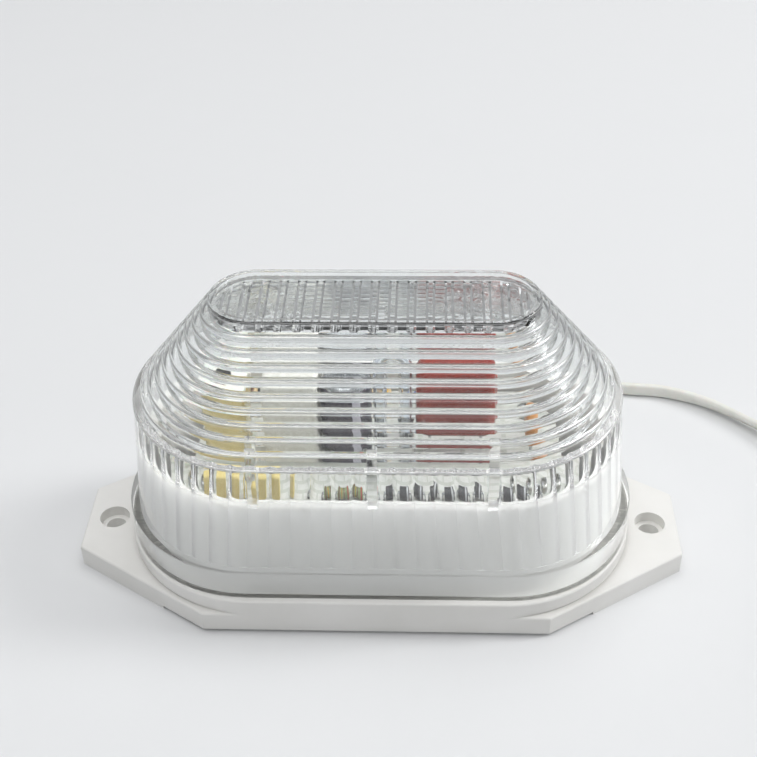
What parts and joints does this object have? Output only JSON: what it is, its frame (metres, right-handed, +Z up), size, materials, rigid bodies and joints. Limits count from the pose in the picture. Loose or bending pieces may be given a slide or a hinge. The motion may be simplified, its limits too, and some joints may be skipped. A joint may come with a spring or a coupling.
{
  "type": "strobe beacon",
  "caption": "Compact xenon strobe: white two-eared base, clear ribbed lift-off lens over a flash circuit board, flat two-core supply lead with bare ends.",
  "frame": {"origin": "on the mounting surface, midway between the two ear holes, under the middle of the device's bounding box without its lead", "axes": "X from ear to ear, Y from the front to the rear where the lead comes out, Z up out of the mounting surface through the lens"},
  "size_m": [0.1989, 0.0815, 0.0613],
  "materials": {
    "board_laminate": "white lacquered laminate",
    "bung_rubber": "matt",
    "can_aluminium": "drawn",
    "ceramic_cement": "matt cement",
    "clear_polycarbonate": "clear polished",
    "core_black": "soft extruded",
    "core_red": "soft extruded",
    "dark_plastic": "moulded",
    "diac_glass": "glazed",
    "diode_epoxy": "moulded",
    "disc_ceramic": "lacquered",
    "ferrite": "sintered",
    "film_resin": "dipped resin",
    "film_yellow": "moulded box",
    "flash_glass": "clear",
    "gland_pvc": "soft moulded",
    "lead_pvc": "soft extruded",
    "resistor_green": "lacquered",
    "resistor_lacquer": "lacquered",
    "seal_rubber": "matt",
    "sleeve_pvc": "shrunk sleeve",
    "solder": "bright",
    "tinned_wire": "tinned",
    "white_abs": "satin moulded",
    "white_holder": "moulded",
    "yellow_tape": "polyester tape",
    "zinc_steel": "zinc plated"
  },
  "bodies": {
    "housing": {"base": "white_abs", "lens_seal": "seal_rubber", "board_screws": "zinc_steel", "flash_tube": "flash_glass", "tube_electrodes": "tinned_wire", "tube_holder": "white_holder", "trigger_wire": "tinned_wire", "transformer_bobbin": "white_holder", "transformer_winding": "yellow_tape", "transformer_core": "ferrite", "transformer_pins": "tinned_wire", "ballast_resistor": "ceramic_cement", "ballast_leads": "tinned_wire", "reservoir_can": "can_aluminium", "reservoir_sleeve": "sleeve_pvc", "reservoir_bung": "bung_rubber", "reservoir_leads": "tinned_wire", "film_capacitor": "film_resin", "film_capacitor_leads": "tinned_wire", "thyristor": "dark_plastic", "thyristor_leads": "tinned_wire", "disc_capacitor": "disc_ceramic", "disc_capacitor_leads": "tinned_wire", "timing_capacitors": "film_yellow", "timing_capacitor_leads": "tinned_wire", "diodes": "diode_epoxy", "resistors": "resistor_lacquer", "damping_resistor": "resistor_green", "diac": "diac_glass", "diode_leads": "tinned_wire", "resistor_leads": "tinned_wire", "diac_leads": "tinned_wire", "lead_inside": "lead_pvc", "lead_gland": "gland_pvc", "lead_clamp": "white_holder", "clamp_screws": "zinc_steel", "core_wire_left": "core_red", "core_wire_right": "core_black", "core_wire_ends": "tinned_wire", "lead_free": "lead_pvc", "lead_coil": "lead_pvc", "lead_tie": "white_holder", "lead_tails": "lead_pvc", "tinned_ends": "tinned_wire", "circuit_board": "board_laminate", "solder_joints": "solder"},
    "lens": {"lens": "clear_polycarbonate"}
  },
  "joints": [
    {"name": "lens_lift", "type": "slide", "parent": "housing", "child": "lens", "axis": [0, 0, 1], "range_m": [0, 0.065]}
  ]
}
